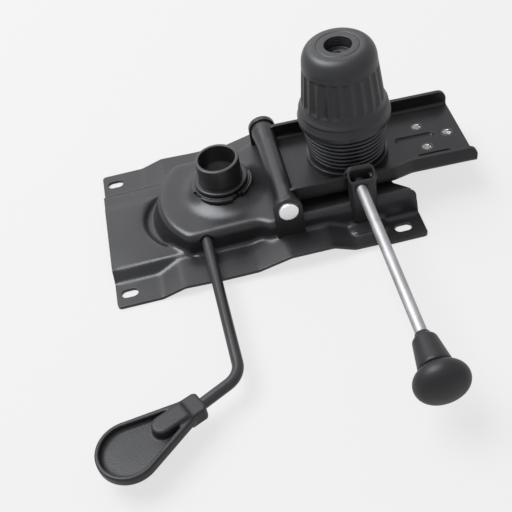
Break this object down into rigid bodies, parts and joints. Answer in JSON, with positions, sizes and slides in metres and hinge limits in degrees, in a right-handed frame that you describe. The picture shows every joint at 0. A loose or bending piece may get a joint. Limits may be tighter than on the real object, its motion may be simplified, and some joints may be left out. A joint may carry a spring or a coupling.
{
  "type": "chair push back mechanism",
  "caption": "Tilting seat mechanism for an office chair: pressed seat plate, gas-lift socket, back arm on a pivot tube, spring with tension knob, tilt lock rod and gas lever.",
  "frame": {"origin": "centre of the four seat bolts, on the plate's face that meets the seat", "axes": "+X towards the back arm, +Z away from the seat (the mechanism lies upside down on its plate), levers on the -Y side"},
  "size_m": [0.3081, 0.3135, 0.1318],
  "materials": {
    "black_enamel": "satin black powder coat",
    "socket_black": "semi-gloss black",
    "lever_black": "satin black",
    "spring_black": "gloss black",
    "zinc": "zinc plated",
    "bright_rod": "bright drawn bar",
    "black_plastic": "moulded, fine grain",
    "rubber": "matt"
  },
  "bodies": {
    "plate": {"seat_plate": "black_enamel", "taper_socket": "socket_black", "socket_collar": "black_enamel", "socket_ring": "socket_black", "pivot_lug_near": "black_enamel", "pivot_lug_far": "black_enamel", "pivot_bolt": "zinc", "pivot_nut": "zinc", "bolt_anchor": "black_enamel", "anchor_pin": "zinc", "lock_housing": "black_enamel", "lock_guide": "black_plastic", "lever_bush": "black_plastic", "lever_bracket": "black_enamel", "stop_pads": "rubber"},
    "arm": {"tilt_arm": "black_enamel", "pivot_tube": "black_enamel", "pivot_bushes": "black_plastic", "arm_weld_nuts": "zinc", "lock_ear": "black_enamel", "spring_seat": "black_enamel", "tension_spring": "spring_black"},
    "bolt": {"tension_bolt": "zinc"},
    "cup": {"thrust_cup": "black_enamel"},
    "knob": {"tension_knob": "black_plastic", "knob_nut": "zinc"},
    "lock": {"lock_rod": "bright_rod", "lock_knob": "black_plastic"},
    "lever": {"lever_rod": "lever_black", "lever_clip": "zinc", "lever_tab": "lever_black", "lever_paddle": "black_plastic"}
  },
  "joints": [
    {"name": "arm_tilt", "type": "hinge", "parent": "plate", "child": "arm", "pos_m": [0.0224, 0, 0.0384], "axis": [0, -1, 0], "range_deg": [0, 12], "stiffness_Nm_per_rad": 3.8, "springref_deg": -20.05, "deforming": ["tension_spring"]},
    {"name": "bolt_swing", "type": "hinge", "parent": "plate", "child": "bolt", "pos_m": [0.0805, 0, 0.013], "axis": [0, -1, 0], "range_deg": [0, 6]},
    {"name": "knob_travel", "type": "slide", "parent": "bolt", "child": "cup", "axis": [0, 0, 1], "range_m": [-0.0015, 0.006], "deforming": ["tension_spring"]},
    {"name": "knob_turn", "type": "hinge", "parent": "cup", "child": "knob", "pos_m": [0.0805, 0, 0.1], "axis": [0, 0, 1], "range_deg": [-360, 1440]},
    {"name": "lock_slide", "type": "slide", "parent": "plate", "child": "lock", "axis": [0, -1, 0], "range_m": [-0.01, 0]},
    {"name": "lever_lift", "type": "hinge", "parent": "plate", "child": "lever", "pos_m": [-0.0405, -0.043, 0.018], "axis": [0.0175, -0.9998, 0], "range_deg": [0, 7]}
  ],
  "couplings": [
    {"joint": "bolt_swing", "follows": "arm_tilt", "ratio": 0.5},
    {"joint": "knob_travel", "follows": "knob_turn", "m_per_rad": 0.00023873}
  ]
}
